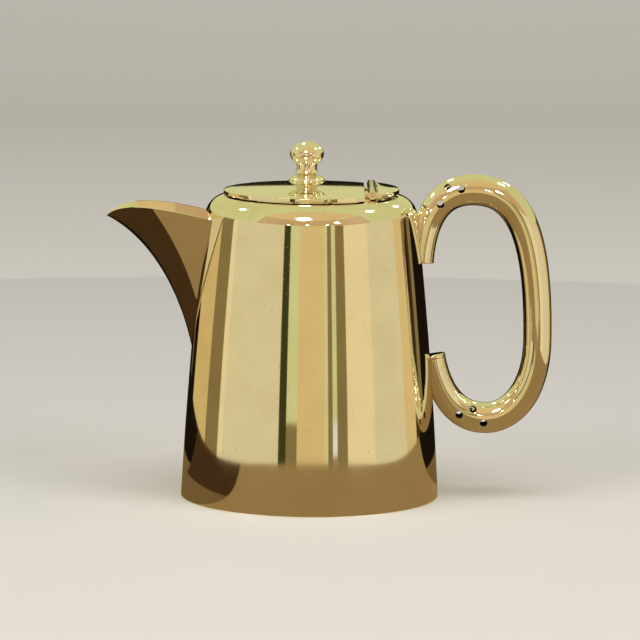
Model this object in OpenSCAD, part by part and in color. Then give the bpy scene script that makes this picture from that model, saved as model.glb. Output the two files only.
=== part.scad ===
// Half-pint hinged-lid cream jug in silver plate.
// Origin: centre of the underside. +Z up, spout towards -X, handle towards +X.
// The lid is modelled closed; it opens about the hinge pin, which lies along Y.

/* [Body] */
// Outside diameter at the foot
base_d = 75.6; // [64:0.2:92]
// Diameter the sides would reach at the flat top, before the shoulder is rounded
top_d = 60.6; // [56:0.2:66]
// Height of the flat top above the table
body_h = 89; // [76:0.5:108]
// How far the sides swell beyond a straight taper
side_bulge = 0.75; // [0.3:0.05:1.5]
// Radius of the rounded shoulder
shoulder_r = 6.6; // [5:0.1:8]
// Thickness of the spun wall
wall = 0.9; // [0.7:0.05:1.2]
// Thickness of the soldered base disc
base_t = 1.2; // [0.9:0.1:1.8]
// How far the mouth's edge lies in from the lid's edge
mouth_inset = 3.1; // [2.5:0.1:5]

/* [Lid] */
// How far the lid's edge lies in from the top's unrounded corner
lid_inset = 4.7; // [3.8:0.1:6]
// Thickness of the lid plate
lid_t = 1.1; // [0.9:0.1:1.4]
// Rise of the lid's middle above its edge
lid_rise = 0.5; // [0.2:0.1:1.2]
// Shadow gap between the lid's edge and the body
lid_gap = 0.3; // [0.2:0.05:0.5]
// Depth of the locating flange below the lid
flange_h = 3; // [2:0.25:4]
// Thickness of the locating flange
flange_t = 0.8; // [0.6:0.1:1.2]
// Clearance between the locating flange and the mouth
flange_clearance = 0.4; // [0.35:0.05:0.8]

/* [Hinge] */
// How far the pin lies in from the lid's edge, on the handle's side
hinge_inset = 8; // [7:0.1:9.5]
// Distance from the pin to the lid's straight edge
hinge_to_lid = 2.2; // [1.8:0.1:2.6]
// Distance from the pin to the straight side of the mouth
hinge_to_mouth = 3.6; // [3:0.1:4.5]
// Outside radius of the knuckles
knuckle_r = 1.3; // [1.2:0.05:1.4]
// Radius of the hinge pin
pin_r = 0.6; // [0.5:0.05:0.7]
// Running clearance of the pin in the knuckles
pin_clearance = 0.04; // [0.02:0.01:0.08]
// How far each end of the row of knuckles stands in from the lid's edge
hinge_margin = 2.6; // [2:0.1:4]
// Gap between neighbouring knuckles
knuckle_gap = 0.3; // [0.2:0.05:0.5]
// Gap between the knuckles and the edge of the fixed ear
ear_gap = 0.3; // [0.2:0.05:0.5]
// Thickness of the fixed ear
ear_t = 1.2; // [1:0.1:1.4]
// Height of the soldered seat that carries the fixed ear
seat_h = 0.7; // [0.5:0.05:0.9]
// How far the seat stands back from the edge of the ear
seat_inset = 2.2; // [1.5:0.1:3]

/* [Knob] */
// Distance from the axis to the knob, towards the spout
knob_offset = 1.4; // [0:0.1:3]
// Widest radius of the knob's ball
ball_r = 4.95; // [4:0.05:6]
// Height of the ball from its lower edge to its top
ball_h = 7.2; // [6:0.1:8]
// Radius of the knob's neck under the ball
neck_r = 2.9; // [2.5:0.05:3.4]
// Widest radius of the knob's collar
collar_r = 5.25; // [4.5:0.05:6]
// Height of the knob from the lid to its top
knob_h = 13.6; // [12:0.1:16]
// Radius of the knob's stud
stud_r = 1.5; // [1.2:0.05:1.7]
// Clearance of the stud in the lid and the washer
stud_clearance = 0.1; // [0.05:0.05:0.3]
// Radius of the washer under the lid
washer_r = 3.4; // [2.8:0.1:4.5]
// Thickness of the washer
washer_t = 0.5; // [0.4:0.1:1]
// Width of the hexagonal nut across its flats
nut_af = 5.5; // [4.5:0.1:7]
// Height of the nut
nut_h = 2.2; // [1.6:0.1:3]

/* [Spout] */
// How far the spout's tip stands out from the body's side
spout_throw = 28.7; // [22:0.1:35]
// Depth of the spout's tip below the flat top
spout_tip_drop = 6.6; // [5:0.1:9]
// Depth of the highest part of the spout's rim below the flat top
spout_crest_drop = 3.2; // [2.4:0.1:4]
// Depth at which the rim meets the body below the flat top
spout_rim_drop = 6.8; // [5.5:0.1:8]
// Height at which the ridge leaves the body
spout_foot_z = 44; // [38:0.5:50]
// Width of the spout across its open top
spout_w = 24; // [20:0.5:27]
// Thickness of the spout's sheet
spout_t = 0.9; // [0.7:0.05:1.2]
// Margin of wall left around the pouring hole
pour_margin = 3; // [2:0.25:4]

/* [Handle] */
// Distance from the foot's edge out to the middle of the handle's upright
handle_throw = 28.7; // [24:0.1:36]
// Height of the middle of the tube above the flat top, at the top of the handle
handle_rise = 1.7; // [0:0.1:6]
// Height of the middle of the tube at the bottom of the handle
handle_bottom_z = 23.4; // [20:0.2:27]
// Depth of the upper end below the flat top
handle_upper_drop = 18.6; // [15:0.2:24]
// Height of the lower end
handle_lower_z = 41; // [37:0.2:46]
// Tube diameter at the top and the bottom bend
handle_bend_d = 9.1; // [8:0.1:10]
// Tube diameter along the upright
handle_mid_d = 8.3; // [7.5:0.1:9.5]
// Tube diameter at the two ends
handle_end_d = 7.4; // [6.5:0.1:8.5]
// Thickness of the tube's wall
tube_wall = 1; // [0.8:0.1:1.3]
// Diameter of the vent holes
vent_d = 2.2; // [1.6:0.1:2.8]
// Thickness of the caps that close the tube
cap_t = 1; // [0.8:0.1:1.5]
// Solder gap between the handle, the spout and the body
solder_gap = 0.03; // [0.02:0.01:0.1]

/* [Hidden] */
$fn = 96;
silver = [0.86, 0.82, 0.72];
warm_silver = [0.83, 0.78, 0.66];
dull_silver = [0.62, 0.6, 0.56];
cut = 0.1;
big = 3 * (body_h + base_d);

// Side of the body: an arc of small rise between the foot and the sharp corner of the top
base_r = base_d / 2;
top_r = top_d / 2;
side_lean = atan((base_r - top_r) / body_h);
side_chord = norm([base_r - top_r, body_h]);
// Radius of that arc
side_arc_r = side_chord * side_chord / 8 / side_bulge + side_bulge / 2;
side_half_angle = asin(side_chord / 2 / side_arc_r);
side_steps = 12;
// Where the side ends and the shoulder's arc begins
top_lean = side_lean + side_half_angle;
shoulder_tangent = shoulder_r / tan((90 + top_lean) / 2);
shoulder_mid = [top_r - shoulder_tangent, body_h - shoulder_r];
shoulder_steps = 10;
side_end_z = shoulder_mid.y + shoulder_r * sin(top_lean);

// Radius of the body's side at height z
function side_r(z) =
    let (s = z / body_h)
    base_r + (top_r - base_r) * s + 4 * side_bulge / cos(side_lean) * s * (1 - s);
// Radius of the body at height z, shoulder included
function body_r(z) =
    z <= side_end_z
        ? side_r(z)
        : shoulder_mid.x + sqrt(max(0, shoulder_r * shoulder_r - pow(z - shoulder_mid.y, 2)));
// Outline of the body's skin, inset by t and starting at height z0
function skin(t, z0) = concat(
    [for (i = [0 : side_steps])
        let (z = z0 + (side_end_z - z0) * i / side_steps)
        [side_r(z) - t / cos(side_lean), z]],
    [for (i = [1 : shoulder_steps])
        let (a = top_lean + (90 - top_lean) * i / shoulder_steps)
        shoulder_mid + (shoulder_r - t) * [cos(a), sin(a)]]);

// Lid, mouth and hinge, in from the top's corner and up from the flat top
lid_r = top_r - lid_inset;
mouth_r = lid_r - mouth_inset;
hinge_x = lid_r - hinge_inset;
lid_edge_x = hinge_x - hinge_to_lid;
mouth_chord_x = hinge_x - hinge_to_mouth;
lid_z = body_h + lid_gap;
lid_top_z = lid_z + lid_t;
hinge_z = body_h + knuckle_r + lid_gap;
hinge_len = 2 * (sqrt(lid_r * lid_r - hinge_x * hinge_x) - hinge_margin);
ear_z = body_h + seat_h;
ear_x = hinge_x + knuckle_r + ear_gap;
flange_r = mouth_r - flange_clearance;

// Height of the lid's upper surface above its edge, at distance r from the axis
function dome(r) = lid_rise * (1 - pow(r / lid_r, 2));
dome_steps = 8;
function dome_line(z) = [for (i = [0 : dome_steps]) let (r = lid_r * i / dome_steps) [r, z + dome(r)]];
flange_z = lid_z + dome(flange_r);

// Knob: heights of its parts above the lid, and the fixing under the lid
knob_z = lid_top_z + lid_rise;
foot_r = 1.14 * neck_r;
foot_step = 0.6;
foot_round = 0.15;
waist_r = neck_r - 0.2;
collar_mid = 2.3;
collar_half_h = 1.75;
neck_flare = [[0.45, 0.5], [0.1, 1.2], [0, 1.9]];
ball_half_h = ball_h / 2;
ball_mid = knob_h - ball_half_h;
knob_steps = 14;
stud_depth = 6;
stud_end = 0.5;
washer_z = lid_z + dome(knob_offset + washer_r) - washer_t;
nut_z = washer_z - nut_h;

// Five knuckles: three on the ear, two on the lid
knuckle_count = 5;
knuckle_pitch = hinge_len / knuckle_count;
knuckle_len = knuckle_pitch - knuckle_gap;
function knuckle_y(i) = (i - (knuckle_count - 1) / 2) * knuckle_pitch;

// Cubic curve through p0 and p3, pulled by p1 and p2
function bezier(p0, p1, p2, p3, t) =
    pow(1 - t, 3) * p0 + 3 * t * pow(1 - t, 2) * p1 + 3 * t * t * (1 - t) * p2 + pow(t, 3) * p3;
function bezier_slope(p0, p1, p2, p3, t) =
    3 * pow(1 - t, 2) * (p1 - p0) + 6 * t * (1 - t) * (p2 - p1) + 3 * t * t * (p3 - p2);
function smooth(t) = t * t * (3 - 2 * t);

// Handle's middle line in the XZ plane, as four curves from the upper end to the lower end
handle_reach = base_r + handle_throw;
handle_top_z = body_h + handle_rise;
handle_upper_z = body_h - handle_upper_drop;
handle_side_z = handle_bottom_z + 0.35 * (handle_top_z - handle_bottom_z);
handle_sink = [0.1, -0.9];
handle_upper = [body_r(handle_upper_z) - handle_sink[0], handle_upper_z];
handle_top = [handle_reach - 19.3, handle_top_z];
handle_side = [handle_reach, handle_side_z];
handle_bottom = [handle_reach - 15.1, handle_bottom_z];
handle_lower = [body_r(handle_lower_z) - handle_sink[1], handle_lower_z];
// How far each curve is pulled along the tube's direction at its two ends
upper_pull = [0.9, 11.6];
lower_pull = [-2.2, 11.2];
top_pulls = [10.4, 13.5];
side_pulls = [0.71 * (handle_top_z - handle_side_z), 0.66 * (handle_side_z - handle_bottom_z)];
bottom_pulls = [7.9, 8];
handle_curves = [
    [handle_upper, handle_upper + upper_pull, handle_top - [top_pulls[0], 0], handle_top],
    [handle_top, handle_top + [top_pulls[1], 0], handle_side + [0, side_pulls[0]], handle_side],
    [handle_side, handle_side - [0, side_pulls[1]], handle_bottom + [bottom_pulls[0], 0], handle_bottom],
    [handle_bottom, handle_bottom - [bottom_pulls[1], 0], handle_lower - lower_pull, handle_lower]];
handle_steps = [11, 16, 10, 10];
function handle_at(i, t) = let (c = handle_curves[i]) bezier(c[0], c[1], c[2], c[3], t);
function handle_slope(i, t) = let (c = handle_curves[i]) bezier_slope(c[0], c[1], c[2], c[3], t);
handle_ds = [handle_end_d, handle_bend_d, handle_mid_d, handle_bend_d, handle_end_d];
function handle_d_at(i, t) = handle_ds[i] + (handle_ds[i + 1] - handle_ds[i]) * smooth(t);
// Stations along the handle: [curve, share of the curve]
handle_stations = concat([[0, 0]],
    [for (i = [0 : 3]) for (j = [1 : handle_steps[i]]) [i, j / handle_steps[i]]]);
handle_sides = 20;

// Vent holes: [curve, share, tilt of the hole from the side towards the outside of the bend]
vents = [[0, 0.59, 0], [0, 0.88, 12], [0, 0.76, 40], [3, 0.02, 12], [3, 0.34, 12], [3, 0.2, -34]];
vent_sides = 32;
// Share of a curve by which the bore runs past each end of the tube
bore_overrun = 0.02;

// Spout: the ridge and the rim are curves that meet at the tip. Inset by t they give its inside
spout_half_w = spout_w / 2;
spout_rim_z = body_h - spout_rim_drop;
spout_crest_z = body_h - spout_crest_drop;
spout_tip_z = body_h - spout_tip_drop;
spout_reach = body_r(spout_rim_z) + spout_throw;
spout_stations = 24;
spout_rows = 6;
foot_x = body_r(spout_foot_z);
root_sink = 4;
root_x = body_r(spout_rim_z) - root_sink;
// How far the ridge is pulled at the foot and at the tip
ridge_foot_pull = [3.6, 0.44 * (spout_tip_z - spout_foot_z)];
ridge_tip_pull = [12.5, 6.2];
// How far the rim is pulled at the body and at the tip: it passes the crest's height at crest_s
rim_root_pull = [12, 2.6];
rim_tip_pull_x = 5.5;
crest_s = 0.6;
rim_pull_z = (spout_crest_z - bezier(spout_rim_z, spout_rim_z + rim_root_pull.y, 0, spout_tip_z, crest_s))
    / (3 * crest_s * crest_s * (1 - crest_s));
// Shift of the inside's curves for each millimetre of inset
ridge_foot_inset = [1.3, 0];
ridge_low_inset = [1.6, 0.4];
ridge_high_inset = [1.1, 1.3];
tip_inset = [2.4, 0.2];
rim_side_inset = 1.05;
function ridge_at(s, t) = bezier(
    [-foot_x, spout_foot_z] + t * ridge_foot_inset,
    [-foot_x - ridge_foot_pull.x, spout_foot_z + ridge_foot_pull.y] + t * ridge_low_inset,
    [-spout_reach + ridge_tip_pull.x, spout_tip_z - ridge_tip_pull.y] + t * ridge_high_inset,
    [-spout_reach, spout_tip_z] + t * tip_inset, s);
function rim_at(s, t) = bezier(
    [-root_x, spout_rim_z],
    [-root_x - rim_root_pull.x, spout_rim_z + rim_root_pull.y],
    [-spout_reach + rim_tip_pull_x, rim_pull_z],
    [-spout_reach, spout_tip_z] + t * tip_inset, s);
function rim_half_w(s, t) = max(0, (spout_half_w - rim_side_inset * t) * bezier(1, 1.04, 1.0, 0, s));
// How full the section is: below 1 the sides bow outwards
section_rise = 1.15;
section_bow = 0.86;
// How far the space above the open top is cleared
spout_open = 5;
// One section: from the rim on one side, down to the ridge and up to the other rim
function spout_section(s, t) =
    let (a = ridge_at(s, t), b = rim_at(s, t), w = rim_half_w(s, t))
    [for (j = [-spout_rows : spout_rows])
        let (u = abs(j) / spout_rows, v = pow(u, section_rise))
        [a.x + (b.x - a.x) * v, sign(j) * w * pow(u, section_bow), a.y + (b.y - a.y) * v]];

// Pouring hole: the outline of the spout's root, less a margin of wall
pour_top_z = spout_rim_z - pour_margin;
pour_foot_z = spout_foot_z + 3 * pour_margin;
pour_steps = 10;
function pour_outline(side) = [for (i = [1 : pour_steps])
    let (u = i / pour_steps)
    [side * (spout_half_w - pour_margin) * sin(90 * u), pour_foot_z + (pour_top_z - pour_foot_z) * u]];

// Solid of revolution of the body's outside, inset by t, from height z0 up
module body_solid(t, z0 = 0) {
    rotate_extrude()
        polygon(concat([[0, z0]], skin(t, z0), [[0, body_h - t]]));
}

// Everything beyond the plane at x
module beyond(x) {
    translate([x, -big / 2, -big / 2])
        cube(big);
}

module body_shell() color(silver) difference() {
    body_solid(0);
    body_solid(wall, -cut);
    difference() {
        translate([0, 0, body_h - 2 * wall])
            cylinder(r = mouth_r, h = 3 * wall);
        beyond(mouth_chord_x);
    }
    rotate([90, 0, -90])
        linear_extrude(base_r + 1)
            polygon(concat([[0, pour_foot_z]], pour_outline(1),
                [for (i = [1 : pour_steps]) pour_outline(-1)[pour_steps - i]]));
}

module base_plate() color(dull_silver)
    cylinder(r = side_r(base_t) - wall / cos(side_lean) - solder_gap, h = base_t);

// Closed skin over a row of flat sections that all have n points. It ends flat, or in a point if tip is given
module skin_over(sections, n, tip) {
    last = len(sections) - 1;
    far = [for (k = [0 : n - 1]) last * n + k];
    polyhedron(
        points = concat([for (section = sections) for (p = section) p], is_undef(tip) ? [] : [tip]),
        faces = concat(
            [[for (k = [n - 1 : -1 : 0]) k]],
            is_undef(tip) ? [far] : [for (k = [0 : n - 1]) [far[k], far[(k + 1) % n], (last + 1) * n]],
            [for (i = [0 : last - 1]) for (k = [0 : n - 1])
                let (m = (k + 1) % n)
                each [[i * n + k, i * n + m, (i + 1) * n + k], [i * n + m, (i + 1) * n + m, (i + 1) * n + k]]]),
        convexity = 6);
}

// Beak of the spout, inset by t, with its open top raised by lift
module beak(t, lift) {
    tip = ridge_at(1, t);
    skin_over([for (i = [0 : spout_stations - 1])
        let (s = i / spout_stations,
             section = spout_section(s, t),
             up = (rim_at(s, t) - ridge_at(s, t)) / norm(rim_at(s, t) - ridge_at(s, t)) * lift,
             n = len(section))
        concat(section, lift > 0
            ? [section[n - 1] + [up.x, 0, up.y], section[0] + [up.x, 0, up.y]]
            : [])],
        2 * spout_rows + 1 + (lift > 0 ? 2 : 0),
        [tip.x, 0, tip.y]);
}

module spout() color(warm_silver) difference() {
    beak(0, 0);
    beak(spout_t, spout_open);
    body_solid(-solder_gap, -cut);
}

// Solid round bar along the handle's middle line, thinner than the handle by 2 t
module handle_bar(t, overrun) {
    ends = [[0, -overrun], [3, 1 + overrun]];
    stations = overrun > 0 ? concat([ends[0]], handle_stations, [ends[1]]) : handle_stations;
    skin_over([for (st = stations)
        let (p = handle_at(st[0], st[1]),
             v = handle_slope(st[0], st[1]) / norm(handle_slope(st[0], st[1])),
             r = handle_d_at(st[0], min(1, max(0, st[1]))) / 2 - t)
        [for (k = [0 : handle_sides - 1])
            let (a = 360 * k / handle_sides)
            [p.x - v.y * r * cos(a), r * sin(a), p.y + v.x * r * cos(a)]]],
        handle_sides);
}

// One vent hole's drill, from the middle of the tube outwards on one side
module vent(v, side) {
    p = handle_at(v[0], v[1]);
    slope = handle_slope(v[0], v[1]) / norm(handle_slope(v[0], v[1]));
    aim = [-slope.y * sin(v[2]), side * cos(v[2]), slope.x * sin(v[2])];
    translate([p.x, 0, p.y])
        rotate([0, acos(aim.z), atan2(aim.y, aim.x)])
            cylinder(d = vent_d, h = handle_bend_d, $fn = vent_sides);
}

module handle_tube() color(warm_silver) difference() {
    handle_bar(0, 0);
    handle_bar(tube_wall, bore_overrun);
    body_solid(-solder_gap, -cut);
    for (v = vents) {
        vent(v, 1);
        vent(v, -1);
    }
}

// Disc that closes one end of the tube: curve i, share t, facing away from the tube
module handle_cap(i, t, away) {
    p = handle_at(i, t);
    v = away * handle_slope(i, t);
    difference() {
        translate([p.x, 0, p.y])
            rotate([0, atan2(v.x, v.y), 0])
                cylinder(d = handle_end_d, h = cap_t);
        body_solid(-solder_gap, -cut);
    }
}

module handle_cap_upper() color(silver)
    handle_cap(0, 0, -1);

module handle_cap_lower() color(silver)
    handle_cap(3, 1, 1);

module lid_plate() color(silver) difference() {
    rotate_extrude()
        polygon(concat(dome_line(lid_top_z), [for (i = [dome_steps : -1 : 0]) dome_line(lid_z)[i]]));
    beyond(lid_edge_x);
    translate([-knob_offset, 0, body_h])
        cylinder(r = stud_r + stud_clearance, h = knob_h);
}

module lid_flange() color(dull_silver) difference() {
    translate([0, 0, flange_z - flange_h])
        cylinder(r = flange_r, h = flange_h);
    translate([0, 0, flange_z - flange_h - cut])
        cylinder(r = flange_r - flange_t, h = flange_h + 2 * cut);
    beyond(mouth_chord_x - flange_clearance);
}

// Outline of the knob from its foot to its top; heights are above the lid
function knob_outline() = concat(
    [[0, 0], [foot_r, 0], [foot_r - foot_round, foot_round], [waist_r, foot_step]],
    [for (i = [0 : knob_steps])
        let (a = -60 + 125 * i / knob_steps)
        [collar_r * cos(a) + neck_r * 0.12 * (1 - cos(a)), collar_mid + collar_half_h * sin(a)]],
    [for (step = neck_flare) [neck_r + step.x, collar_mid + collar_half_h + step.y]],
    [for (i = [0 : knob_steps])
        let (a = -52 + 142 * i / knob_steps)
        [i == knob_steps ? 0 : ball_r * cos(a), ball_mid + ball_half_h * sin(a)]]);

module knob() color(silver) translate([-knob_offset, 0, knob_z]) difference() {
    rotate_extrude()
        polygon(knob_outline());
    translate([0, 0, -cut])
        cylinder(r = stud_r, h = stud_depth + cut);
}

module knob_stud() color(dull_silver)
    translate([-knob_offset, 0, nut_z - stud_end])
        cylinder(r = stud_r, h = knob_z + stud_depth - nut_z + stud_end);

module knob_washer() color(dull_silver) translate([-knob_offset, 0, washer_z]) difference() {
    cylinder(r = washer_r, h = washer_t);
    translate([0, 0, -cut])
        cylinder(r = stud_r + stud_clearance, h = washer_t + 2 * cut);
}

module knob_nut() color(dull_silver) translate([-knob_offset, 0, nut_z]) difference() {
    cylinder(d = nut_af / cos(30), h = nut_h, $fn = 6);
    translate([0, 0, -cut])
        cylinder(r = stud_r, h = nut_h + 2 * cut);
}

module hinge_ear() color(silver) difference() {
    translate([0, 0, ear_z])
        cylinder(r = lid_r, h = ear_t);
    mirror([1, 0, 0])
        beyond(-ear_x);
}

module hinge_seat() color(dull_silver) difference() {
    translate([0, 0, body_h])
        cylinder(r = lid_r - seat_inset, h = seat_h);
    mirror([1, 0, 0])
        beyond(-ear_x - seat_inset / 2);
}

// One knuckle at place i, with the tab that joins it to a plate
module knuckle(i, tab_x, tab_z, tab_t) {
    y = knuckle_y(i) - knuckle_len / 2;
    difference() {
        union() {
            translate([hinge_x, y + knuckle_len, hinge_z])
                rotate([90, 0, 0])
                    cylinder(r = knuckle_r, h = knuckle_len);
            translate([min(tab_x, hinge_x), y, tab_z])
                cube([abs(tab_x - hinge_x), knuckle_len, tab_t]);
        }
        translate([hinge_x, y + knuckle_len + cut, hinge_z])
            rotate([90, 0, 0])
                cylinder(r = pin_r + pin_clearance, h = knuckle_len + 2 * cut);
    }
}

module hinge_knuckles_fixed() color(warm_silver)
    for (i = [0 : 2 : knuckle_count - 1])
        knuckle(i, ear_x, ear_z, ear_t);

module hinge_knuckles_lid() color(warm_silver)
    for (i = [1 : 2 : knuckle_count - 1])
        knuckle(i, lid_edge_x, lid_z, lid_t);

module hinge_pin() color(dull_silver)
    translate([hinge_x, hinge_len / 2, hinge_z])
        rotate([90, 0, 0])
            cylinder(r = pin_r, h = hinge_len);

body_shell();
base_plate();
spout();
handle_tube();
handle_cap_upper();
handle_cap_lower();
lid_plate();
lid_flange();
knob();
knob_stud();
knob_washer();
knob_nut();
hinge_ear();
hinge_seat();
hinge_knuckles_fixed();
hinge_knuckles_lid();
hinge_pin();
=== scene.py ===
import math

import bmesh
import bpy
import numpy as np
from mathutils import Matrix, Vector, kdtree


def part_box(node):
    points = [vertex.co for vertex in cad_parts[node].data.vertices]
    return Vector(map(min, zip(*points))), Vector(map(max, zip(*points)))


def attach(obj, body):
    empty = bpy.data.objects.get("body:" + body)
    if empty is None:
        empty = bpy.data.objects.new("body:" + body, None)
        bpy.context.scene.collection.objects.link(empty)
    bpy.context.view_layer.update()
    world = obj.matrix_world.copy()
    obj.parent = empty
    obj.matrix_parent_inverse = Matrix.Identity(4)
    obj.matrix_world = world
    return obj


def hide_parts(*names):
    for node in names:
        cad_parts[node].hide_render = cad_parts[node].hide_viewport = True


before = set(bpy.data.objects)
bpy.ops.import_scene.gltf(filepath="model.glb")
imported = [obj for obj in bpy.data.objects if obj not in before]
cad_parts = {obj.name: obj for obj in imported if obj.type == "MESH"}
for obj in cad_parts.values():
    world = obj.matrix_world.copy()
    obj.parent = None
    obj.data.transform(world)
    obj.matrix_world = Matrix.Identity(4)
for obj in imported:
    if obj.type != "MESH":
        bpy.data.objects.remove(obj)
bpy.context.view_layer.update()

scene = bpy.context.scene
MM = 0.001

# ---------------------------------------------------------------------------
# Sizes, in metres. Those that the frame states are read from it
# ---------------------------------------------------------------------------
body_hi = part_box("body_shell")[1]
lid_lo, lid_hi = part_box("lid_plate")
knob_lo, knob_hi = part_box("knob")
spout_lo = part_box("spout")[0]
ear_lo, ear_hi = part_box("hinge_ear")
pin_lo, pin_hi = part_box("hinge_pin")

BASE_R = body_hi.x
BODY_H = body_hi.z
TOP_R = 30.3 * MM
BULGE = 0.75 * MM
SHOULDER_R = 6.6 * MM
WALL = 0.9 * MM
MOUTH_R = 22.5 * MM
MOUTH_CHORD_X = 14 * MM
SOLDER_GAP = 0.03 * MM

LID_R = lid_hi.y
LID_Z = lid_lo.z
LID_RISE = 0.5 * MM
LID_T = lid_hi.z - lid_lo.z - LID_RISE
LID_EDGE_X = lid_hi.x
EAR_X = ear_lo.x

HINGE_X = (pin_lo.x + pin_hi.x) / 2
HINGE_Z = (pin_lo.z + pin_hi.z) / 2
HINGE_LEN = pin_hi.y - pin_lo.y
KNUCKLE_R = 1.3 * MM
PIN_R = (pin_hi.x - pin_lo.x) / 2
PIN_CLEARANCE = 0.04 * MM
KNUCKLES = 5
KNUCKLE_GAP = 0.3 * MM

KNOB_X = (knob_lo.x + knob_hi.x) / 2
KNOB_H = knob_hi.z - knob_lo.z
COLLAR_MID = 2.3 * MM
COLLAR_HALF = 1.75 * MM
COLLAR_R = 5.25 * MM
BALL_R = 4.95 * MM
BALL_HALF = 3.6 * MM
NECK_R = 2.9 * MM
FOOT_R = 3.3 * MM

SPOUT_REACH = -spout_lo.x
SPOUT_TIP_Z = BODY_H - 6.6 * MM
SPOUT_CREST_Z = BODY_H - 3.2 * MM
SPOUT_RIM_Z = BODY_H - 6.8 * MM
SPOUT_FOOT_Z = 44 * MM
SPOUT_HALF_W = 12 * MM
SPOUT_T = 0.9 * MM
POUR_MARGIN = 3 * MM

HANDLE_REACH = BASE_R + 28.7 * MM
HANDLE_TOP_Z = BODY_H + 1.7 * MM
HANDLE_BOTTOM_Z = 23.4 * MM
HANDLE_UPPER_Z = BODY_H - 18.6 * MM
HANDLE_LOWER_Z = 41 * MM
END_D = 7.4 * MM
BEND_D = 9.1 * MM
MID_D = 8.3 * MM
TUBE_WALL = 1 * MM
VENT_D = 2.2 * MM
CAP_T = 1 * MM
BORE_OVERRUN = 0.02
EDGE_ROUND = 0.22 * MM

# ---------------------------------------------------------------------------
# Camera
# ---------------------------------------------------------------------------
CAMERA_DISTANCE = 1.215
CAMERA_HEIGHT = 0.223
AIM = Vector((0.00275, 0, 0.052))
LENS = 235.6
ROLL = 0.43


def make_camera():
    data = bpy.data.cameras.new("camera")
    data.lens = LENS
    data.sensor_width = 36
    data.clip_start = 0.05
    camera = bpy.data.objects.new("camera", data)
    scene.collection.objects.link(camera)
    camera.location = (AIM.x, -CAMERA_DISTANCE, CAMERA_HEIGHT)
    look = (AIM - camera.location).to_track_quat("-Z", "Y")
    camera.rotation_euler = look.to_euler()
    camera.rotation_euler.rotate_axis("Z", math.radians(ROLL))
    scene.camera = camera


make_camera()

# ---------------------------------------------------------------------------
# The body's outline: an arc of small rise, then the shoulder's arc
# ---------------------------------------------------------------------------
LEAN = math.atan((BASE_R - TOP_R) / BODY_H)
CHORD = math.hypot(BASE_R - TOP_R, BODY_H)
ARC_R = CHORD * CHORD / 8 / BULGE + BULGE / 2
TOP_LEAN = LEAN + math.asin(CHORD / 2 / ARC_R)
SHOULDER_X = TOP_R - SHOULDER_R / math.tan((math.pi / 2 + TOP_LEAN) / 2)
SHOULDER_Z = BODY_H - SHOULDER_R
SIDE_END_Z = SHOULDER_Z + SHOULDER_R * math.sin(TOP_LEAN)


def side_r(z):
    s = z / BODY_H
    return BASE_R + (TOP_R - BASE_R) * s + 4 * BULGE / math.cos(LEAN) * s * (1 - s)


def body_r(z):
    if z <= SIDE_END_Z:
        return side_r(z)
    return SHOULDER_X + math.sqrt(max(0.0, SHOULDER_R ** 2 - (z - SHOULDER_Z) ** 2))


def body_outline(inset, z0, side_steps=48, shoulder_steps=28):
    """Points (r, z) up the side, round the shoulder and in to the axis."""
    line = []
    for i in range(side_steps + 1):
        z = z0 + (SIDE_END_Z - z0) * i / side_steps
        line.append((side_r(z) - inset / math.cos(LEAN), z))
    for i in range(1, shoulder_steps + 1):
        a = TOP_LEAN + (math.pi / 2 - TOP_LEAN) * i / shoulder_steps
        r = SHOULDER_R - inset
        line.append((SHOULDER_X + r * math.cos(a), SHOULDER_Z + r * math.sin(a)))
    return line


def body_normal(p):
    """Outward normal of the body's outside at a point near it."""
    flat = Vector((p.x, p.y, 0))
    r = max(flat.length, 1e-9)
    out = flat / r
    if p.z <= SIDE_END_Z:
        slope = (side_r(p.z + 0.0005) - side_r(p.z - 0.0005)) / 0.001
        return (out - Vector((0, 0, slope))).normalized()
    if r <= SHOULDER_X:
        return Vector((0, 0, 1))
    return (out * (r - SHOULDER_X) + Vector((0, 0, p.z - SHOULDER_Z))).normalized()


# ---------------------------------------------------------------------------
# Mesh helpers
# ---------------------------------------------------------------------------
def new_object(name, points, faces):
    mesh = bpy.data.meshes.new(name)
    mesh.from_pydata([tuple(p) for p in points], [], faces)
    mesh.update()
    obj = bpy.data.objects.new(name, mesh)
    scene.collection.objects.link(obj)
    tidy_normals(obj)
    return obj


def tidy_normals(obj):
    bm = bmesh.new()
    bm.from_mesh(obj.data)
    bmesh.ops.recalc_face_normals(bm, faces=bm.faces)
    bm.to_mesh(obj.data)
    bm.free()


def apply_all(obj):
    graph = bpy.context.evaluated_depsgraph_get()
    mesh = bpy.data.meshes.new_from_object(obj.evaluated_get(graph))
    obj.modifiers.clear()
    obj.data = mesh


def subtract(obj, *cutters):
    for cutter in cutters:
        mod = obj.modifiers.new("cut", "BOOLEAN")
        mod.operation = "DIFFERENCE"
        mod.solver = "EXACT"
        mod.object = cutter
        apply_all(obj)
        bpy.data.objects.remove(cutter)
    return obj


def bevel(obj, width, segments=3, angle=35):
    mod = obj.modifiers.new("bevel", "BEVEL")
    mod.width = width
    mod.segments = segments
    mod.limit_method = "ANGLE"
    mod.angle_limit = math.radians(angle)
    mod.use_clamp_overlap = True
    apply_all(obj)
    return obj


def smooth(obj, angle=32):
    obj.data.shade_smooth()
    obj.data.set_sharp_from_angle(angle=math.radians(angle))
    return obj


def exact_normals(obj, normal_at, limit=0.9):
    """Faces that lie on the true surface take its own normals, so that reflections run clean."""
    mesh = obj.data
    mesh.shade_smooth()
    normals = []
    for face in mesh.polygons:
        flat = face.normal
        on_surface = flat.dot(normal_at(face.center)) > limit
        for i in face.loop_indices:
            if on_surface:
                n = normal_at(mesh.vertices[mesh.loops[i].vertex_index].co)
                normals.append(n if n.dot(flat) > 0.3 else flat)
            else:
                normals.append(flat)
    mesh.normals_split_custom_set([tuple(n) for n in normals])
    return obj


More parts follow.
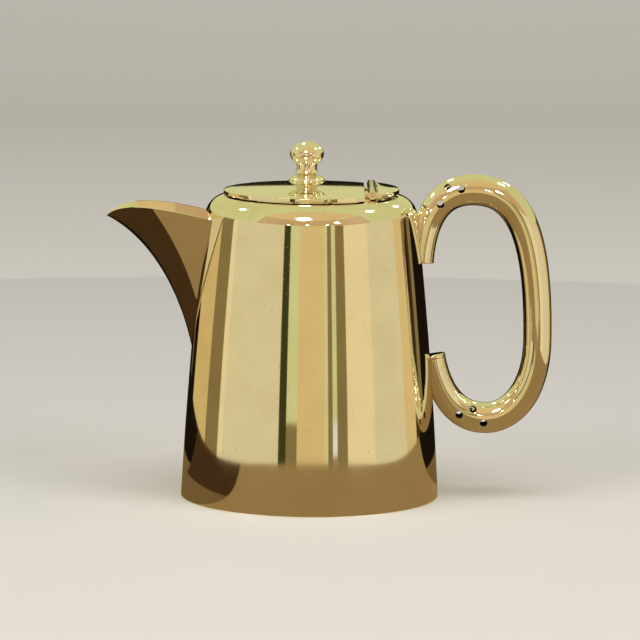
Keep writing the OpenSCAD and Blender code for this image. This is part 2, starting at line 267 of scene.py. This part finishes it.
def lathe(name, outline, segments=192, centre=(0, 0)):
    """Solid of revolution of an outline of (r, z), closed along the axis."""
    points, rings = [], []
    for r, z in outline:
        if r < 1e-7:
            rings.append([len(points)])
            points.append((centre[0], centre[1], z))
            continue
        ring = []
        for k in range(segments):
            a = 2 * math.pi * k / segments
            ring.append(len(points))
            points.append((centre[0] + r * math.cos(a), centre[1] + r * math.sin(a), z))
        rings.append(ring)
    faces = []
    for a, b in zip(rings, rings[1:]):
        for k in range(segments):
            m = (k + 1) % segments
            if len(a) == 1:
                faces.append((a[0], b[m], b[k]))
            elif len(b) == 1:
                faces.append((a[k], a[m], b[0]))
            else:
                faces.append((a[k], a[m], b[m], b[k]))
    for ring, flip in ((rings[0], True), (rings[-1], False)):
        if len(ring) > 1:
            faces.append(tuple(reversed(ring)) if flip else tuple(ring))
    return new_object(name, points, faces)


def block(x0, x1, y0, y1, z0, z1):
    points = [(x, y, z) for x in (x0, x1) for y in (y0, y1) for z in (z0, z1)]
    faces = [(0, 1, 3, 2), (4, 6, 7, 5), (0, 4, 5, 1), (2, 3, 7, 6), (0, 2, 6, 4), (1, 5, 7, 3)]
    return new_object("block", points, faces)


def rod(name, centre, aim, radius, length, sides=48):
    """Straight round bar that starts at centre and runs along aim."""
    turn = Vector((0, 0, 1)).rotation_difference(Vector(aim).normalized())
    points, faces = [], []
    for z in (0, length):
        for k in range(sides):
            a = 2 * math.pi * k / sides
            points.append(Vector(centre) + turn @ Vector((radius * math.cos(a), radius * math.sin(a), z)))
    for k in range(sides):
        m = (k + 1) % sides
        faces.append((k, m, sides + m, sides + k))
    faces.append(tuple(reversed(range(sides))))
    faces.append(tuple(range(sides, 2 * sides)))
    return new_object(name, points, faces)


def bezier(p0, p1, p2, p3, t):
    return (1 - t) ** 3 * p0 + 3 * t * (1 - t) ** 2 * p1 + 3 * t * t * (1 - t) * p2 + t ** 3 * p3


def xz(x, z):
    return np.array((x, z), float)


def body_solid(inset, z0=0.0):
    outline = [(0, z0)] + body_outline(inset, z0) + [(0, BODY_H - inset)]
    return lathe("body_solid", outline, 256)


# ---------------------------------------------------------------------------
# Handle: four cubic curves from the upper end to the lower end, in the XZ plane
# ---------------------------------------------------------------------------
UPPER = xz(body_r(HANDLE_UPPER_Z) - 0.1 * MM, HANDLE_UPPER_Z)
TOP = xz(HANDLE_REACH - 19.3 * MM, HANDLE_TOP_Z)
SIDE = xz(HANDLE_REACH, HANDLE_BOTTOM_Z + 0.35 * (HANDLE_TOP_Z - HANDLE_BOTTOM_Z))
BOTTOM = xz(HANDLE_REACH - 15.1 * MM, HANDLE_BOTTOM_Z)
SIDE_UP = 0.71 * (HANDLE_TOP_Z - SIDE[1])
SIDE_DOWN = 0.66 * (SIDE[1] - HANDLE_BOTTOM_Z)
LOWER = xz(body_r(HANDLE_LOWER_Z) + 0.9 * MM, HANDLE_LOWER_Z)
HANDLE_CURVES = [
    (UPPER, UPPER + xz(0.9, 11.6) * MM, TOP - xz(10.4, 0) * MM, TOP),
    (TOP, TOP + xz(13.5, 0) * MM, SIDE + xz(0, SIDE_UP), SIDE),
    (SIDE, SIDE - xz(0, SIDE_DOWN), BOTTOM + xz(7.9, 0) * MM, BOTTOM),
    (BOTTOM, BOTTOM - xz(8, 0) * MM, LOWER - xz(-2.2, 11.2) * MM, LOWER),
]
HANDLE_DS = (END_D, BEND_D, MID_D, BEND_D, END_D)
# [curve, share, tilt of the hole from the side towards the outside of the bend]
VENTS = [(0, 0.59, 0), (0, 0.88, 12), (0, 0.76, 40), (3, 0.02, 12), (3, 0.34, 12), (3, 0.2, -34)]


def handle_at(i, t):
    return bezier(*HANDLE_CURVES[i], t)


def handle_slope(i, t):
    step = handle_at(i, t + 0.001) - handle_at(i, t - 0.001)
    return step / np.linalg.norm(step)


def handle_d(i, t):
    t = min(1, max(0, t))
    return HANDLE_DS[i] + (HANDLE_DS[i + 1] - HANDLE_DS[i]) * t * t * (3 - 2 * t)


def handle_bar(name, inset, overrun, steps=40, sides=64):
    stations = [(0, -overrun)] + [(i, j / steps) for i in range(4) for j in range(1 if i else 0, steps + 1)]
    stations.append((3, 1 + overrun))
    if not overrun:
        stations = stations[1:-1]
    points, faces = [], []
    for i, t in stations:
        p, v, r = handle_at(i, t), handle_slope(i, t), handle_d(i, t) / 2 - inset
        for k in range(sides):
            a = 2 * math.pi * k / sides
            points.append((p[0] - v[1] * r * math.cos(a), r * math.sin(a), p[1] + v[0] * r * math.cos(a)))
    for s in range(len(stations) - 1):
        for k in range(sides):
            m = (k + 1) % sides
            faces.append((s * sides + k, s * sides + m, (s + 1) * sides + m, (s + 1) * sides + k))
    faces.append(tuple(range(sides)))
    faces.append(tuple(range((len(stations) - 1) * sides, len(stations) * sides)))
    return new_object(name, points, faces)


HANDLE_LINE = [handle_at(i, j / 60) for i in range(4) for j in range(61)]
HANDLE_TREE = kdtree.KDTree(len(HANDLE_LINE))
for number, place in enumerate(HANDLE_LINE):
    HANDLE_TREE.insert((place[0], 0, place[1]), number)
HANDLE_TREE.balance()


def handle_normal(p):
    """Outward normal of the tube: away from the nearest point of its middle line."""
    number = HANDLE_TREE.find((p.x, 0, p.z))[1]
    i, j = divmod(number, 61)
    v = handle_slope(i, j / 60)
    line = HANDLE_LINE[number]
    along = Vector((v[0], 0, v[1]))
    off = Vector((p.x - line[0], p.y, p.z - line[1]))
    off -= along * off.dot(along)
    return off.normalized() if off.length > 1e-7 else Vector((0, 1, 0))


def make_handle():
    bar = handle_bar("handle_tube_skin", 0, 0)
    cutters = [handle_bar("inside", TUBE_WALL, BORE_OVERRUN, sides=40), body_solid(-SOLDER_GAP, -1 * MM)]
    for i, t, tilt in VENTS:
        p, v = handle_at(i, t), handle_slope(i, t)
        s, c = math.sin(math.radians(tilt)), math.cos(math.radians(tilt))
        for side in (1, -1):
            aim = (-v[1] * s, side * c, v[0] * s)
            cutters.append(rod("drill", (p[0], 0, p[1]), aim, VENT_D / 2, BEND_D, 40))
    subtract(bar, *cutters)
    exact_normals(bar, handle_normal)
    return bar


def make_handle_cap(name, i, t, away):
    p, v = handle_at(i, t), handle_slope(i, t) * away
    cap = rod(name, (p[0], 0, p[1]), (v[0], 0, v[1]), END_D / 2, CAP_T, 64)
    subtract(cap, body_solid(-SOLDER_GAP, -1 * MM))
    bevel(cap, 0.25 * MM)
    return smooth(cap)


# ---------------------------------------------------------------------------
# Spout: a ridge and a rim that meet at the tip; inset by t they give its inside
# ---------------------------------------------------------------------------
SPOUT_ROOT_X = body_r(SPOUT_RIM_Z) - 4 * MM
SPOUT_FOOT_X = body_r(SPOUT_FOOT_Z)
RIM_ROOT_UP = 2.6 * MM
CREST_S = 0.6


RIM_PULL_Z = (SPOUT_CREST_Z - bezier(SPOUT_RIM_Z, SPOUT_RIM_Z + RIM_ROOT_UP, 0, SPOUT_TIP_Z, CREST_S)) \
    / (3 * CREST_S ** 2 * (1 - CREST_S))


def ridge_at(s, t):
    return bezier(
        xz(-SPOUT_FOOT_X + 1.3 * t, SPOUT_FOOT_Z),
        xz(-SPOUT_FOOT_X - 3.6 * MM + 1.6 * t, SPOUT_FOOT_Z + 0.44 * (SPOUT_TIP_Z - SPOUT_FOOT_Z) + 0.4 * t),
        xz(-SPOUT_REACH + 12.5 * MM + 1.1 * t, SPOUT_TIP_Z - 6.2 * MM + 1.3 * t),
        xz(-SPOUT_REACH + 2.4 * t, SPOUT_TIP_Z + 0.2 * t), s)


def rim_at(s, t):
    return bezier(
        xz(-SPOUT_ROOT_X, SPOUT_RIM_Z),
        xz(-SPOUT_ROOT_X - 12 * MM, SPOUT_RIM_Z + RIM_ROOT_UP),
        xz(-SPOUT_REACH + 5.5 * MM, RIM_PULL_Z),
        xz(-SPOUT_REACH + 2.4 * t, SPOUT_TIP_Z + 0.2 * t), s)


def spout_point(s, u, t):
    """s runs from the body to the tip, u from one rim (-1) over the ridge (0) to the other rim (1)."""
    a, b = ridge_at(s, t), rim_at(s, t)
    w = max(0.0, (SPOUT_HALF_W - 1.05 * t) * bezier(1, 1.04, 1.0, 0, s))
    v = abs(u) ** 1.15
    y = math.copysign(w * abs(u) ** 0.86, u) if u else 0.0
    return Vector((a[0] + (b[0] - a[0]) * v, y, a[1] + (b[1] - a[1]) * v))


def spout_start(u, t):
    """Where a row of the spout comes out of the body's surface."""
    low, high = 0.0, 1.0
    for _ in range(40):
        s = (low + high) / 2
        p = spout_point(s, u, t)
        if math.hypot(p.x, p.y) > body_r(min(p.z, BODY_H)) + SOLDER_GAP:
            high = s
        else:
            low = s
    return high


def make_spout(steps=72, rows=28):
    """Outside and inside skins, joined along the rim and along the body."""
    points, faces = [], []
    us = [math.copysign(abs(k / rows) ** 1.1, k) for k in range(-rows, rows + 1)]
    wide = len(us)
    for t in (0, SPOUT_T):
        starts = [spout_start(u, t) for u in us]
        for i in range(steps):
            share = 1 - (1 - i / steps) ** 1.25
            for u, start in zip(us, starts):
                points.append(spout_point(start + (1 - start) * share, u, t))
        points.append(spout_point(1, 0, t))
    skin = steps * wide + 1

    def spot(side, i, k):
        return side * skin + i * wide + k

    for side in (0, 1):
        for i in range(steps - 1):
            for k in range(wide - 1):
                near = (spot(side, i, k), spot(side, i, k + 1))
                quad = (*near, spot(side, i + 1, k + 1), spot(side, i + 1, k))
                faces.append(quad if side else quad[::-1])
        tip = side * skin + steps * wide
        for k in range(wide - 1):
            fan = (spot(side, steps - 1, k), spot(side, steps - 1, k + 1), tip)
            faces.append(fan if side else fan[::-1])
    for k in range(wide - 1):
        faces.append((spot(0, 0, k), spot(0, 0, k + 1), spot(1, 0, k + 1), spot(1, 0, k)))
    for k in (0, wide - 1):
        for i in range(steps - 1):
            faces.append((spot(0, i, k), spot(1, i, k), spot(1, i + 1, k), spot(0, i + 1, k)))
        tips = (skin + steps * wide, steps * wide)
        faces.append((spot(0, steps - 1, k), spot(1, steps - 1, k), *tips))
    spout = new_object("spout_beak", points, faces)
    return smooth(spout, 40)


# ---------------------------------------------------------------------------
# Body
# ---------------------------------------------------------------------------
def make_body():
    skin = lathe("body_skin", [(0, 0)] + body_outline(0, 0) + [(0, BODY_H)], 320)
    inside = lathe("inside", [(0, -MM)] + body_outline(WALL, -MM) + [(0, BODY_H - WALL)], 320)
    mouth = lathe("mouth", [(0, BODY_H - 2 * WALL), (MOUTH_R, BODY_H - 2 * WALL), (MOUTH_R, BODY_H + MM),
                            (0, BODY_H + MM)], 160)
    subtract(mouth, block(MOUTH_CHORD_X, 0.1, -0.1, 0.1, 0, 0.2))
    top_z, foot_z = SPOUT_RIM_Z - POUR_MARGIN, SPOUT_FOOT_Z + 3 * POUR_MARGIN
    outline = [(0.0, foot_z)]
    for side in (1, -1):
        rise = [(side * (SPOUT_HALF_W - POUR_MARGIN) * math.sin(math.pi / 2 * i / 10),
                 foot_z + (top_z - foot_z) * i / 10) for i in range(1, 11)]
        outline += rise if side == 1 else rise[::-1]
    n = len(outline)
    points = [(x, y, z) for x in (-BASE_R - MM, 0) for y, z in outline]
    faces = [(k, (k + 1) % n, n + (k + 1) % n, n + k) for k in range(n)]
    faces += [tuple(range(n)), tuple(range(n, 2 * n))]
    subtract(skin, inside, mouth, new_object("pour", points, faces))
    exact_normals(skin, body_normal)
    return skin


# ---------------------------------------------------------------------------
# Lid
# ---------------------------------------------------------------------------
def dome(r):
    return LID_RISE * (1 - (r / LID_R) ** 2)


def make_lid():
    steps = 24
    top = [(LID_R * i / steps, LID_Z + LID_T + dome(LID_R * i / steps)) for i in range(steps, -1, -1)]
    under = [(LID_R * i / steps, LID_Z + dome(LID_R * i / steps)) for i in range(steps + 1)]
    lid = lathe("lid_disc", under + top, 256)
    subtract(lid, block(LID_EDGE_X, 0.1, -0.1, 0.1, 0, 0.2))
    bevel(lid, EDGE_ROUND)
    return smooth(lid, 40)


def make_knob():
    """Foot, collar, neck and ball, turned in one piece."""
    ball_mid = KNOB_H - BALL_HALF
    line = [(0, 0), (FOOT_R, 0), (FOOT_R - 0.15 * MM, 0.25 * MM), (NECK_R - 0.2 * MM, 0.6 * MM)]
    steps = 28
    for i in range(steps + 1):
        a = math.radians(-60 + 125 * i / steps)
        r = COLLAR_R * math.cos(a) + NECK_R * 0.12 * (1 - math.cos(a))
        line.append((r, COLLAR_MID + COLLAR_HALF * math.sin(a)))
    for dr, dz in ((0.45, 0.5), (0.1, 1.2), (0, 1.9)):
        line.append((NECK_R + dr * MM, COLLAR_MID + COLLAR_HALF + dz * MM))
    for i in range(steps + 1):
        a = math.radians(-52 + 142 * i / steps)
        line.append((0 if i == steps else BALL_R * math.cos(a), ball_mid + BALL_HALF * math.sin(a)))
    knob = lathe("knob_turned", [(r, z + knob_lo.z) for r, z in line], 128, (KNOB_X, 0))
    return smooth(knob, 34)


def make_ear():
    ear = lathe("ear_plate", [(0, ear_lo.z), (LID_R, ear_lo.z), (LID_R, ear_hi.z), (0, ear_hi.z)], 256)
    subtract(ear, block(-0.1, EAR_X, -0.1, 0.1, 0, 0.2))
    bevel(ear, EDGE_ROUND)
    return smooth(ear, 40)


def make_knuckles(name, first, tab_x, tab_z, tab_t):
    """Every second knuckle from first, each a round barrel with its tab, joined in one object."""
    pitch = HINGE_LEN / KNUCKLES
    length = pitch - KNUCKLE_GAP
    bore_r = PIN_R + PIN_CLEARANCE
    made = []
    for i in range(first, KNUCKLES, 2):
        y = (i - (KNUCKLES - 1) / 2) * pitch - length / 2
        barrel = rod(name, (HINGE_X, y, HINGE_Z), (0, 1, 0), KNUCKLE_R, length, 48)
        tab = block(min(tab_x, HINGE_X), max(tab_x, HINGE_X), y, y + length, tab_z, tab_z + tab_t)
        mod = barrel.modifiers.new("tab", "BOOLEAN")
        mod.operation = "UNION"
        mod.solver = "EXACT"
        mod.object = tab
        apply_all(barrel)
        bpy.data.objects.remove(tab)
        subtract(barrel, rod("bore", (HINGE_X, y - MM, HINGE_Z), (0, 1, 0), bore_r, length + 2 * MM, 32))
        bevel(barrel, 0.1 * MM, 2, 50)
        smooth(barrel, 40)
        made.append(barrel)
    with bpy.context.temp_override(active_object=made[0], selected_editable_objects=made):
        bpy.ops.object.join()
    return made[0]


# ---------------------------------------------------------------------------
# Materials
# ---------------------------------------------------------------------------
class Nodes:
    """Small helper that adds and links shader nodes."""

    def __init__(self, name):
        self.material = bpy.data.materials.new(name)
        self.material.use_nodes = True
        self.tree = self.material.node_tree
        self.tree.nodes.clear()
        self.out = self.add("ShaderNodeOutputMaterial")
        self.shader = self.add("ShaderNodeBsdfPrincipled")
        self.link(self.shader, "BSDF", self.out, "Surface")
        self.coords = self.add("ShaderNodeTexCoord")

    def add(self, kind, **values):
        node = self.tree.nodes.new(kind)
        for key, value in values.items():
            if hasattr(node, key):
                setattr(node, key, value)
            else:
                node.inputs[key.replace("_", " ")].default_value = value
        return node

    def link(self, a, out, b, into):
        self.tree.links.new(a.outputs[out], b.inputs[into])

    def noise(self, scale, detail=3.0, stretch=(1, 1, 1), turn=(0, 0, 0)):
        mapping = self.add("ShaderNodeMapping")
        mapping.inputs["Scale"].default_value = stretch
        mapping.inputs["Rotation"].default_value = turn
        self.link(self.coords, "Object", mapping, "Vector")
        noise = self.add("ShaderNodeTexNoise")
        noise.inputs["Scale"].default_value = scale
        noise.inputs["Detail"].default_value = detail
        self.link(mapping, "Vector", noise, "Vector")
        return noise

    def ramp(self, node, out, stops):
        ramp = self.add("ShaderNodeValToRGB")
        while len(ramp.color_ramp.elements) < len(stops):
            ramp.color_ramp.elements.new(0.5)
        for element, (place, value) in zip(ramp.color_ramp.elements, stops):
            element.position = place
            element.color = value if len(value) == 4 else (*value, 1)
        self.link(node, out, ramp, "Fac")
        return ramp

    def math(self, kind, a, b):
        node = self.add("ShaderNodeMath", operation=kind)
        for place, value in enumerate((a, b)):
            if isinstance(value, (int, float)):
                node.inputs[place].default_value = value
            else:
                self.tree.links.new(value, node.inputs[place])
        return node.outputs[0]


def grey(value):
    return (value, value, value, 1)


def silver(name, colour, dull, roughness, scratches, waviness):
    """Hand-polished silver plate: fine scratches, small pits, faint tarnish and a slightly uneven surface."""
    n = Nodes(name)
    n.shader.inputs["Metallic"].default_value = 1.0
    tarnish = n.noise(95, 5.0)
    blotch = n.ramp(tarnish, "Fac", [(0.42, grey(0)), (0.72, grey(1))])
    pits = n.noise(1500, 2.0)
    pit = n.ramp(pits, "Fac", [(0.70, grey(0)), (0.76, grey(1))])
    colours = n.add("ShaderNodeMix", data_type="RGBA")
    n.tree.links.new(n.math("MULTIPLY", blotch.outputs["Color"], 0.22), colours.inputs[0])
    colours.inputs[6].default_value = (*colour, 1)
    colours.inputs[7].default_value = (*dull, 1)
    spotted = n.add("ShaderNodeMix", data_type="RGBA")
    n.tree.links.new(n.math("MULTIPLY", pit.outputs["Color"], 0.55), spotted.inputs[0])
    n.tree.links.new(colours.outputs[2], spotted.inputs[6])
    spotted.inputs[7].default_value = (dull[0] * 0.5, dull[1] * 0.5, dull[2] * 0.5, 1)
    n.tree.links.new(spotted.outputs[2], n.shader.inputs["Base Color"])
    haze = n.noise(60, 4.0)
    rough = n.math("MULTIPLY_ADD", haze.outputs["Fac"], roughness * 0.9)
    rough.node.inputs[2].default_value = roughness * 0.55
    rough = n.math("ADD", rough, n.math("MULTIPLY", pit.outputs["Color"], 0.2))
    n.tree.links.new(rough, n.shader.inputs["Roughness"])
    fine = n.noise(420, 2.0, (1, 1, 0.06), (0.05, 0.03, 0))
    cross = n.noise(420, 2.0, (0.08, 1, 1), (0, 0.6, 0.4))
    wave = n.noise(38, 1.0)
    height = n.math("ADD", n.math("MULTIPLY", fine.outputs["Fac"], scratches),
                    n.math("MULTIPLY", cross.outputs["Fac"], scratches * 0.7))
    height = n.math("ADD", height, n.math("MULTIPLY", wave.outputs["Fac"], waviness))
    height = n.math("SUBTRACT", height, n.math("MULTIPLY", pit.outputs["Color"], scratches * 6))
    bump = n.add("ShaderNodeBump")
    bump.inputs["Strength"].default_value = 1.0
    bump.inputs["Distance"].default_value = 1.0
    n.tree.links.new(height, bump.inputs["Height"])
    n.link(bump, "Normal", n.shader, "Normal")
    return n.material


POLISHED = silver("polished_silver", (0.93, 0.89, 0.77), (0.66, 0.57, 0.40), 0.05, 0.5e-6, 9e-6)
DULLED = silver("hinge_silver", (0.88, 0.82, 0.68), (0.52, 0.44, 0.30), 0.12, 1e-6, 4e-6)
# Near-black silver, used for the inside of the handle tube.
NEAR_BLACK = silver("near_black_silver", (0.04, 0.03, 0.02), (0.02, 0.015, 0.01), 0.5, 2e-6, 4e-6)
HIDDEN = silver("satin_nickel_silver", (0.66, 0.62, 0.54), (0.45, 0.40, 0.32), 0.30, 2e-6, 4e-6)


def paint(obj, material):
    obj.data.materials.clear()
    obj.data.materials.append(material)


def darken_bore(tube):
    """The inside of the tube, seen only through its vents, is coloured near black."""
    tube.data.materials.append(NEAR_BLACK)
    for face in tube.data.polygons:
        if face.normal.dot(handle_normal(face.center)) < -0.2:
            face.material_index = 1


def place(obj, body, node, slot_name, material):
    paint(obj, material)
    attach(obj, body)
    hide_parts(node)


place(make_body(), "jug", "body_shell", "silver", POLISHED)
place(make_spout(), "jug", "spout", "silver", POLISHED)
place(make_handle(), "jug", "handle_tube", "silver", POLISHED)
darken_bore(bpy.data.objects["handle_tube_skin"])
place(make_handle_cap("handle_end_upper", 0, 0, -1), "jug", "handle_cap_upper", "silver", POLISHED)
place(make_handle_cap("handle_end_lower", 3, 1, 1), "jug", "handle_cap_lower", "silver", POLISHED)
place(make_ear(), "jug", "hinge_ear", "silver", POLISHED)
place(make_knuckles("knuckles_of_ear", 0, EAR_X, ear_lo.z, ear_hi.z - ear_lo.z), "jug",
      "hinge_knuckles_fixed", "hinge_silver", DULLED)
place(make_knuckles("knuckles_of_lid", 1, LID_EDGE_X, LID_Z, LID_T), "lid",
      "hinge_knuckles_lid", "hinge_silver", DULLED)
place(make_lid(), "lid", "lid_plate", "silver", POLISHED)
place(make_knob(), "lid", "knob", "silver", POLISHED)
for node, material in (("base_plate", POLISHED), ("hinge_seat", DULLED), ("hinge_pin", HIDDEN),
                       ("lid_flange", POLISHED), ("knob_stud", HIDDEN), ("knob_washer", HIDDEN),
                       ("knob_nut", HIDDEN)):
    paint(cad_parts[node], material)


# --------------------------------------------------------------------------- Floor, backdrop, glowing cards that paint the metal's reflections, and lamps
# Floor, backdrop, cards and lamps
# ---------------------------------------------------------------------------
def plain(name, colour, roughness):
    n = Nodes(name)
    n.shader.inputs["Base Color"].default_value = (*colour, 1)
    n.shader.inputs["Roughness"].default_value = roughness
    return n.material


# Material that glows though it is no lamp; the cards and balls that wear it paint the metal's reflections and
# highlights.
def glow(name, colour):
    n = Nodes(name)
    n.tree.nodes.remove(n.shader)
    light = n.add("ShaderNodeEmission")
    light.inputs["Color"].default_value = (*colour, 1)
    n.link(light, "Emission", n.out, "Surface")
    return n.material


def make_floor():
    half, back, height, bend = 3.0, 1.2, 2.2, 0.5
    rows = [(-half, 0.0)]
    for i in range(17):
        a = math.pi / 2 * i / 16
        rows.append((back + bend * math.sin(a), bend * (1 - math.cos(a))))
    rows.append((back + bend, height))
    points = [(x, y, z) for y, z in rows for x in (-half, half)]
    faces = [(2 * i, 2 * i + 1, 2 * i + 3, 2 * i + 2) for i in range(len(rows) - 1)]
    floor = new_object("floor", points, faces)
    smooth(floor, 60)
    paint(floor, plain("pale_floor", (0.62, 0.60, 0.56), 0.6))


# Heights of the glowing cards that paint the metal's reflections: the front and side ones, the low ones
# behind that leave the lid showing a bright painted reflection, and the top
SIDE_TOP = 0.135
BACK_TOP = 0.12
ROSE_TOP = 0.30
TOP_CARDS_Z = 0.6
FLOOR_CARD_Z = 0.0004
HIGHLIGHT_BALL_DISTANCE = 0.27


def ring_r(azimuth):
    """Distance of the ring of glowing reflection cards from the axis: nearer at the jug's two sides."""
    return 0.34 - 0.14 * math.sin(azimuth) ** 2


def only_in_reflections(card, material):
    paint(card, material)
    card.visible_camera = False
    card.visible_diffuse = False
    card.visible_shadow = False
    card.visible_transmission = False


def strip(name, first, last, edges, material):
    """Glowing curved strip, seen only in reflections, whose two edges at azimuth a are edges(a) as (radius,
    z). Azimuth 0 is in front.
    """
    steps = max(2, round((last - first) / 3))
    points = []
    for i in range(steps + 1):
        a = math.radians(first + (last - first) * i / steps)
        for r, z in edges(a):
            points.append((math.sin(a) * r, -math.cos(a) * r, z))
    faces = [(2 * i, 2 * i + 2, 2 * i + 3, 2 * i + 1) for i in range(steps)]
    only_in_reflections(new_object(name, points, faces), material)


def ring_card(name, first, last, low, high, material):
    strip(name, first, last, lambda a: ((ring_r(a), low), (ring_r(a), high)), material)


# Flat glowing ring, seen only in reflections, that paints a reflected floor or ceiling.
def flat_reflection_card(name, first, last, near, far, material, z=FLOOR_CARD_Z):
    strip(name, first, last, lambda a: ((max(near, 0.001), z), (far, z)), material)


def painted_highlight_ball(name, turn, rise, radius):
    """Small glowing ball, no lamp, seen only in reflections: a painted highlight on the shoulder, at azimuth
    turn and slope rise, in degrees.
    """
    a, b = math.radians(turn), math.radians(rise)
    normal = Vector((math.cos(b) * math.sin(a), -math.cos(b) * math.cos(a), math.sin(b)))
    r = SHOULDER_X + SHOULDER_R * math.cos(b)
    spot = Vector((r * math.sin(a), -r * math.cos(a), SHOULDER_Z + SHOULDER_R * math.sin(b)))
    view = (spot - scene.camera.location).normalized()
    out = view.reflect(normal)
    mesh = bpy.data.meshes.new(name)
    bm = bmesh.new()
    bmesh.ops.create_icosphere(bm, subdivisions=3, radius=radius)
    bm.to_mesh(mesh)
    bm.free()
    ball = bpy.data.objects.new(name, mesh)
    scene.collection.objects.link(ball)
    ball.location = spot + out * HIGHLIGHT_BALL_DISTANCE
    only_in_reflections(ball, HIGHLIGHT_GLOW)


def lamp(name, place_, aim, size, power):
    data = bpy.data.lights.new(name, "AREA")
    data.shape = "RECTANGLE"
    data.size, data.size_y = size
    data.energy = power
    # The lamps give the metal no highlights: the glowing cards and balls paint all its reflections and
    # highlights.
    data.specular_factor = 0
    obj = bpy.data.objects.new(name, data)
    scene.collection.objects.link(obj)
    obj.location = place_
    obj.rotation_euler = (Vector(aim) - Vector(place_)).to_track_quat("-Z", "Y").to_euler()


def make_world():
    world = bpy.data.worlds.new("studio")
    world.use_nodes = True
    tree = world.node_tree
    tree.nodes.clear()
    out = tree.nodes.new("ShaderNodeOutputWorld")
    sky = tree.nodes.new("ShaderNodeBackground")
    sky.inputs["Color"].default_value = (1.0, 0.97, 0.9, 1)
    sky.inputs["Strength"].default_value = 0.55
    tree.links.new(sky.outputs[0], out.inputs["Surface"])
    scene.world = world


make_floor()
make_world()
# Colours of glowing cards seen only in reflections: each paints a reflection the metal shows there, and the
# last paints its highlights.
BLACK = glow("dark_card", (0.010, 0.006, 0.003))
UMBER = glow("umber_card", (0.055, 0.028, 0.009))
BROWN = glow("brown_card", (0.17, 0.105, 0.038))
TABLE_REFLECTION = glow("painted_table_reflection", (0.31, 0.20, 0.075))
GREEN = glow("green_card", (0.045, 0.045, 0.010))
OLIVE = glow("olive_card", (0.24, 0.17, 0.06))
AMBER = glow("amber_card", (0.62, 0.45, 0.17))
WARM = glow("warm_card", (0.70, 0.51, 0.22))
BRIGHT = glow("bright_card", (0.70, 0.60, 0.35))
PALE = glow("pale_card", (0.82, 0.66, 0.36))
CEILING_REFLECTION = glow("painted_ceiling_reflection", (0.64, 0.62, 0.28))
ROSE = glow("rose_card", (0.56, 0.37, 0.17))
HIGHLIGHT_GLOW = glow("painted_highlight_glow", (22, 21, 17))

# A ring of glowing cards, seen only in reflections, stands round the jug and paints the metal's reflections.
# The jug's side shows the one at twice its own azimuth
for number, (first, last, low, high, material) in enumerate((
        (-180, -152, 0, BACK_TOP, BLACK), (-152, -148, 0, BACK_TOP, BROWN), (-148, -136, 0, BACK_TOP, BLACK),
        (-136, -104, 0, BACK_TOP, AMBER), (-104, -86, 0, 0.13, OLIVE), (-86, -80, 0, SIDE_TOP, PALE),
        (-80, -27, 0, SIDE_TOP, BRIGHT), (-27, -20.5, 0, SIDE_TOP, GREEN),
        (-20.5, -11, 0.02, SIDE_TOP, CEILING_REFLECTION),
        (-20.5, -11, 0, 0.02, OLIVE), (-11, 13, 0, SIDE_TOP, WARM), (13, 16, 0, SIDE_TOP, CEILING_REFLECTION),
        (16, 20, 0, SIDE_TOP, OLIVE), (20, 24, 0.02, SIDE_TOP, CEILING_REFLECTION), (24, 33, 0, SIDE_TOP, OLIVE),
        (33, 58, 0, SIDE_TOP, PALE), (58, 92, 0, SIDE_TOP, BRIGHT), (92, 108, 0, SIDE_TOP, WARM),
        (108, 117, 0, BACK_TOP, UMBER), (117, 124, 0, BACK_TOP, OLIVE), (124, 180, 0, BACK_TOP, BLACK),
        (-180, -58, BACK_TOP, TOP_CARDS_Z, CEILING_REFLECTION), (-58, 64, SIDE_TOP, ROSE_TOP, ROSE),
        (-58, 64, ROSE_TOP, TOP_CARDS_Z, WARM),
        (64, 180, BACK_TOP, TOP_CARDS_Z, CEILING_REFLECTION))):
    ring_card("ring_card_%d" % number, first, last, low, high, material)
# Flat glowing cards just above the floor and at the top, seen only in reflections, paint the floor and
# ceiling that the metal reflects.
for number, (first, last, near, far, material) in enumerate((
        (-180, -118, 0.03, 0.10, BROWN), (-180, -118, 0.10, 0.5, BLACK), (-118, -60, 0.03, 0.075, BROWN),
        (-118, -60, 0.075, 0.4, UMBER), (-60, 112, 0.03, 0.4, TABLE_REFLECTION), (112, 180, 0.03, 0.10, BROWN),
        (112, 180, 0.10, 0.5, BLACK))):
    flat_reflection_card("floor_card_%d" % number, first, last, near, far, material)
flat_reflection_card("ceiling_card_front", -58, 64, 0.08, 0.4, WARM, TOP_CARDS_Z)
flat_reflection_card("ceiling_card_back", 64, 302, 0.08, 0.4, CEILING_REFLECTION, TOP_CARDS_Z)
flat_reflection_card("ceiling_card_middle", -180, 180, 0, 0.08, CEILING_REFLECTION, TOP_CARDS_Z)
# Small glowing balls, seen only in reflections, paint highlights on the shoulder.
for number, (turn, rise, radius) in enumerate((
        (-42, 43, 0.014), (-19, 70, 0.014), (-4, 25, 0.034), (14, 16, 0.012), (35, 43, 0.016),
        (58, 49, 0.012), (-12, 10, 0.005), (-2, 10, 0.005), (8.6, 10, 0.005))):
    painted_highlight_ball("spark_%d" % number, turn, rise, radius)
lamp("top_box", (0.0, -0.3, 1.3), (0, 0, 0.05), (1.0, 0.8), 9)
lamp("left_box", (-1.2, -0.9, 0.9), (0, 0, 0.05), (0.8, 0.8), 8)
lamp("right_box", (1.2, -0.9, 0.9), (0, 0, 0.05), (0.8, 0.8), 8)

scene.view_settings.view_transform = "Standard"
